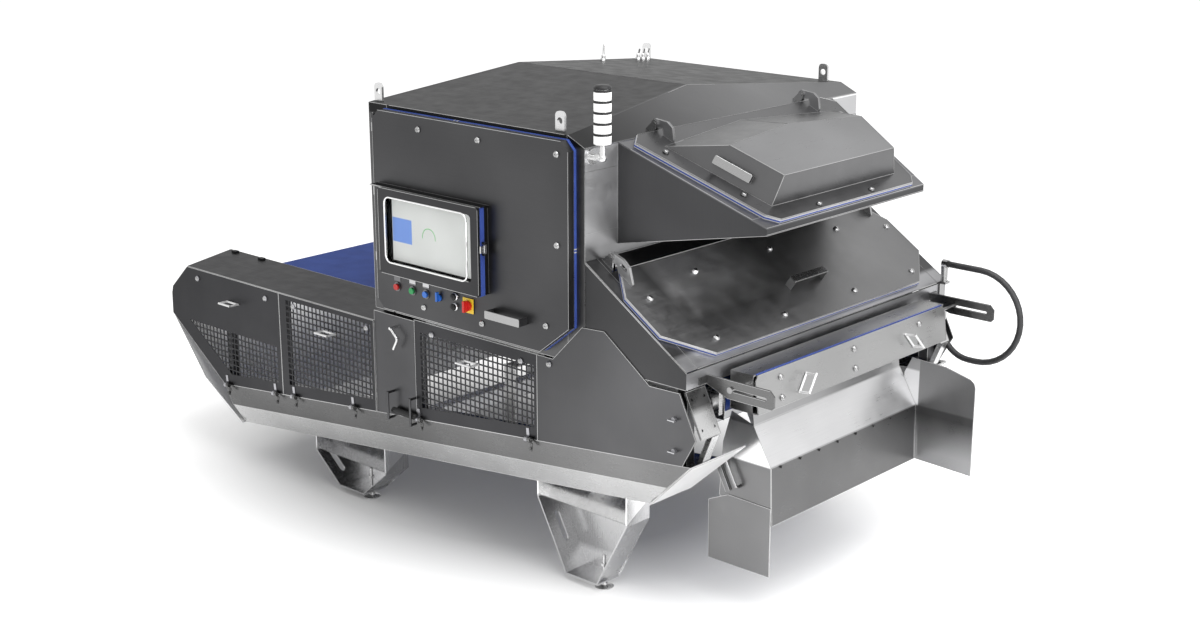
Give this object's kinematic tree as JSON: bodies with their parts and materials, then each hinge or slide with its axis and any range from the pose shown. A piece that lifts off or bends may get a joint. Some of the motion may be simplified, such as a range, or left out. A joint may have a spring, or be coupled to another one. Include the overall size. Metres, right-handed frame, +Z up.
{
  "type": "optical sorter",
  "caption": "Belt-fed optical sorter: cabinet with screen over a guarded belt, sloped hatches, ejector box and discharge chute on levelling feet.",
  "frame": {"origin": "middle of the footprint on the floor, under the levelling feet", "axes": "+X runs with the product from the infeed to the discharge, the operator stands at -Y, +Z is up"},
  "size_m": [4.144, 2.1796, 2.36],
  "materials": {
    "steel_brushed": "brushed stainless",
    "steel_bright": "bright stainless",
    "steel_dark": "dark brushed stainless",
    "seal_blue": "matte",
    "belt_blue": "satin",
    "plastic_black": "matte",
    "plastic_white": "gloss",
    "plastic_red": "gloss",
    "plastic_green": "gloss",
    "plastic_blue": "gloss",
    "motor_grey": "satin",
    "pane": "clear",
    "hose_rubber": "matte"
  },
  "bodies": {
    "machine": {"side_rails": "steel_brushed", "cross_members": "steel_brushed", "leg_infeed_near": "steel_brushed", "leg_infeed_far": "steel_brushed", "leg_discharge_near": "steel_brushed", "leg_discharge_far": "steel_brushed", "support_posts": "steel_dark", "infeed_top_covers": "steel_bright", "cabinet_shell": "steel_dark", "shoulder_shell": "steel_brushed", "optics_shell": "steel_brushed", "control_backplate": "plastic_white", "belt": "belt_blue", "belt_bed": "steel_brushed", "bearing_units": "steel_bright", "drive_motor": "motor_grey", "lifting_eyes": "steel_bright", "cable_glands": "plastic_black", "stack_light": "plastic_white", "housing_seals": "seal_blue", "camera_units": "plastic_black", "scan_window": "pane", "light_bars": "plastic_white", "door_hinges": "steel_brushed", "slotted_arms": "steel_bright", "air_hose": "hose_rubber", "hose_fittings": "plastic_black"},
    "door": {"cabinet_door": "steel_dark", "door_latches": "steel_bright", "screen_box": "steel_brushed", "screen_panel": "plastic_white"},
    "screen front": {"screen_door": "steel_brushed", "screen_pane": "pane"},
    "screen clasp": {"screen_clasp": "steel_bright"},
    "red button": {"red_button": "plastic_red"},
    "green button": {"green_button": "plastic_green"},
    "blue button": {"blue_button": "plastic_blue"},
    "selector": {"selector_lever": "plastic_black"},
    "isolator": {"isolator_knob": "plastic_red"},
    "upper hatch": {"upper_hatch": "steel_brushed"},
    "lower hatch": {"lower_hatch": "steel_brushed"},
    "guard infeed near": {"guard_infeed_near": "steel_dark"},
    "guard middle near": {"guard_middle_near": "steel_dark"},
    "guard under near": {"guard_under_near": "steel_dark"},
    "guard infeed far": {"guard_infeed_far": "steel_dark"},
    "guard middle far": {"guard_middle_far": "steel_dark"},
    "guard under far": {"guard_under_far": "steel_dark"},
    "rod handle": {"rod_handle": "steel_bright"},
    "side cover near": {"side_cover_near": "steel_dark"},
    "side cover far": {"side_cover_far": "steel_dark"},
    "ejector": {"ejector_box": "steel_brushed", "ejector_manifold": "plastic_black"},
    "ejector cover": {"ejector_cover": "steel_bright"},
    "head pulley": {"head_pulley": "steel_bright"},
    "tail pulley": {"tail_pulley": "steel_bright"},
    "chute": {"chute": "steel_bright"},
    "foot infeed near": {"foot_infeed_near": "steel_bright"},
    "foot infeed far": {"foot_infeed_far": "steel_bright"},
    "foot discharge near": {"foot_discharge_near": "steel_bright"},
    "foot discharge far": {"foot_discharge_far": "steel_bright"}
  },
  "joints": [
    {"name": "door hinge", "type": "hinge", "parent": "machine", "child": "door", "pos_m": [-0.2715, -1.0058, 1.564], "axis": [0, 0, -1], "range_deg": [0, 110]},
    {"name": "screen front hinge", "type": "hinge", "parent": "door", "child": "screen front", "pos_m": [-0.1665, -1.0838, 1.569], "axis": [0, 0, -1], "range_deg": [0, 95]},
    {"name": "screen clasp pivot", "type": "hinge", "parent": "door", "child": "screen clasp", "pos_m": [0.5218, -1.0605, 1.585], "axis": [0, 0, 1], "range_deg": [0, 80]},
    {"name": "red button press", "type": "slide", "parent": "door", "child": "red button", "axis": [0, 1, 0], "range_m": [0, 0.004], "stiffness_N_per_m": 800},
    {"name": "green button press", "type": "slide", "parent": "door", "child": "green button", "axis": [0, 1, 0], "range_m": [0, 0.004], "stiffness_N_per_m": 800},
    {"name": "blue button press", "type": "slide", "parent": "door", "child": "blue button", "axis": [0, 1, 0], "range_m": [0, 0.004], "stiffness_N_per_m": 800},
    {"name": "selector turn", "type": "hinge", "parent": "door", "child": "selector", "pos_m": [0.1765, -1.0258, 1.289], "axis": [0, -1, 0], "range_deg": [-45, 45]},
    {"name": "isolator turn", "type": "hinge", "parent": "door", "child": "isolator", "pos_m": [0.3735, -1.0258, 1.289], "axis": [0, -1, 0], "range_deg": [0, 90]},
    {"name": "upper hatch hinge", "type": "hinge", "parent": "machine", "child": "upper hatch", "pos_m": [1.05022, 0.0242, 2.14224], "axis": [0, -1, 0], "range_deg": [0, 70]},
    {"name": "lower hatch hinge", "type": "hinge", "parent": "machine", "child": "lower hatch", "pos_m": [1.11984, 0.0242, 1.61901], "axis": [0, -1, 0], "range_deg": [0, 36]},
    {"name": "guard infeed near hinge", "type": "hinge", "parent": "machine", "child": "guard infeed near", "pos_m": [-1.33622, -0.9928, 0.48753], "axis": [0.9939, 0, 0.1106], "range_deg": [0, 85]},
    {"name": "guard infeed far hinge", "type": "hinge", "parent": "machine", "child": "guard infeed far", "pos_m": [-1.33622, 1.0412, 0.48753], "axis": [-0.9939, 0, -0.1106], "range_deg": [0, 85]},
    {"name": "guard middle near hinge", "type": "hinge", "parent": "machine", "child": "guard middle near", "pos_m": [-0.72002, -0.9928, 0.5561], "axis": [0.9939, 0, 0.1106], "range_deg": [0, 85]},
    {"name": "guard middle far hinge", "type": "hinge", "parent": "machine", "child": "guard middle far", "pos_m": [-0.72002, 1.0412, 0.5561], "axis": [-0.9939, 0, -0.1106], "range_deg": [0, 85]},
    {"name": "guard under near hinge", "type": "hinge", "parent": "machine", "child": "guard under near", "pos_m": [0.35335, -0.9928, 0.67555], "axis": [0.9939, 0, 0.1106], "range_deg": [0, 85]},
    {"name": "guard under far hinge", "type": "hinge", "parent": "machine", "child": "guard under far", "pos_m": [0.35335, 1.0412, 0.67555], "axis": [-0.9939, 0, -0.1106], "range_deg": [0, 85]},
    {"name": "rod handle turn", "type": "hinge", "parent": "machine", "child": "rod handle", "pos_m": [-0.2005, -0.9758, 1.06], "axis": [0, -1, 0], "range_deg": [0, 90]},
    {"name": "side cover near lift off", "type": "slide", "parent": "machine", "child": "side cover near", "axis": [0.1483, -0.9889, 0], "range_m": [0, 0.25]},
    {"name": "side cover far lift off", "type": "slide", "parent": "machine", "child": "side cover far", "axis": [0.1483, 0.9889, 0], "range_m": [0, 0.25]},
    {"name": "ejector slide out", "type": "slide", "parent": "machine", "child": "ejector", "axis": [1, 0, 0], "range_m": [0, 0.178]},
    {"name": "ejector cover lift off", "type": "slide", "parent": "ejector", "child": "ejector cover", "axis": [0.9909, 0, 0.1349], "range_m": [0, 0.15]},
    {"name": "tail pulley spin", "type": "hinge", "parent": "machine", "child": "tail pulley", "pos_m": [-1.6405, 0.0242, 0.9735], "axis": [0, 1, 0], "continuous": true},
    {"name": "head pulley spin", "type": "hinge", "parent": "machine", "child": "head pulley", "pos_m": [1.4495, 0.0242, 0.9735], "axis": [0, 1, 0], "continuous": true},
    {"name": "chute slide down", "type": "slide", "parent": "machine", "child": "chute", "axis": [0.456, 0, -0.89], "range_m": [0, 0.12]},
    {"name": "foot infeed near levelling", "type": "slide", "parent": "machine", "child": "foot infeed near", "axis": [0, 0, -1], "range_m": [-0.008, 0.045]},
    {"name": "foot infeed far levelling", "type": "slide", "parent": "machine", "child": "foot infeed far", "axis": [0, 0, -1], "range_m": [-0.008, 0.045]},
    {"name": "foot discharge near levelling", "type": "slide", "parent": "machine", "child": "foot discharge near", "axis": [0, 0, -1], "range_m": [-0.008, 0.045]},
    {"name": "foot discharge far levelling", "type": "slide", "parent": "machine", "child": "foot discharge far", "axis": [0, 0, -1], "range_m": [-0.008, 0.045]}
  ],
  "couplings": [
    {"joint": "tail pulley spin", "follows": "head pulley spin", "ratio": 1}
  ]
}
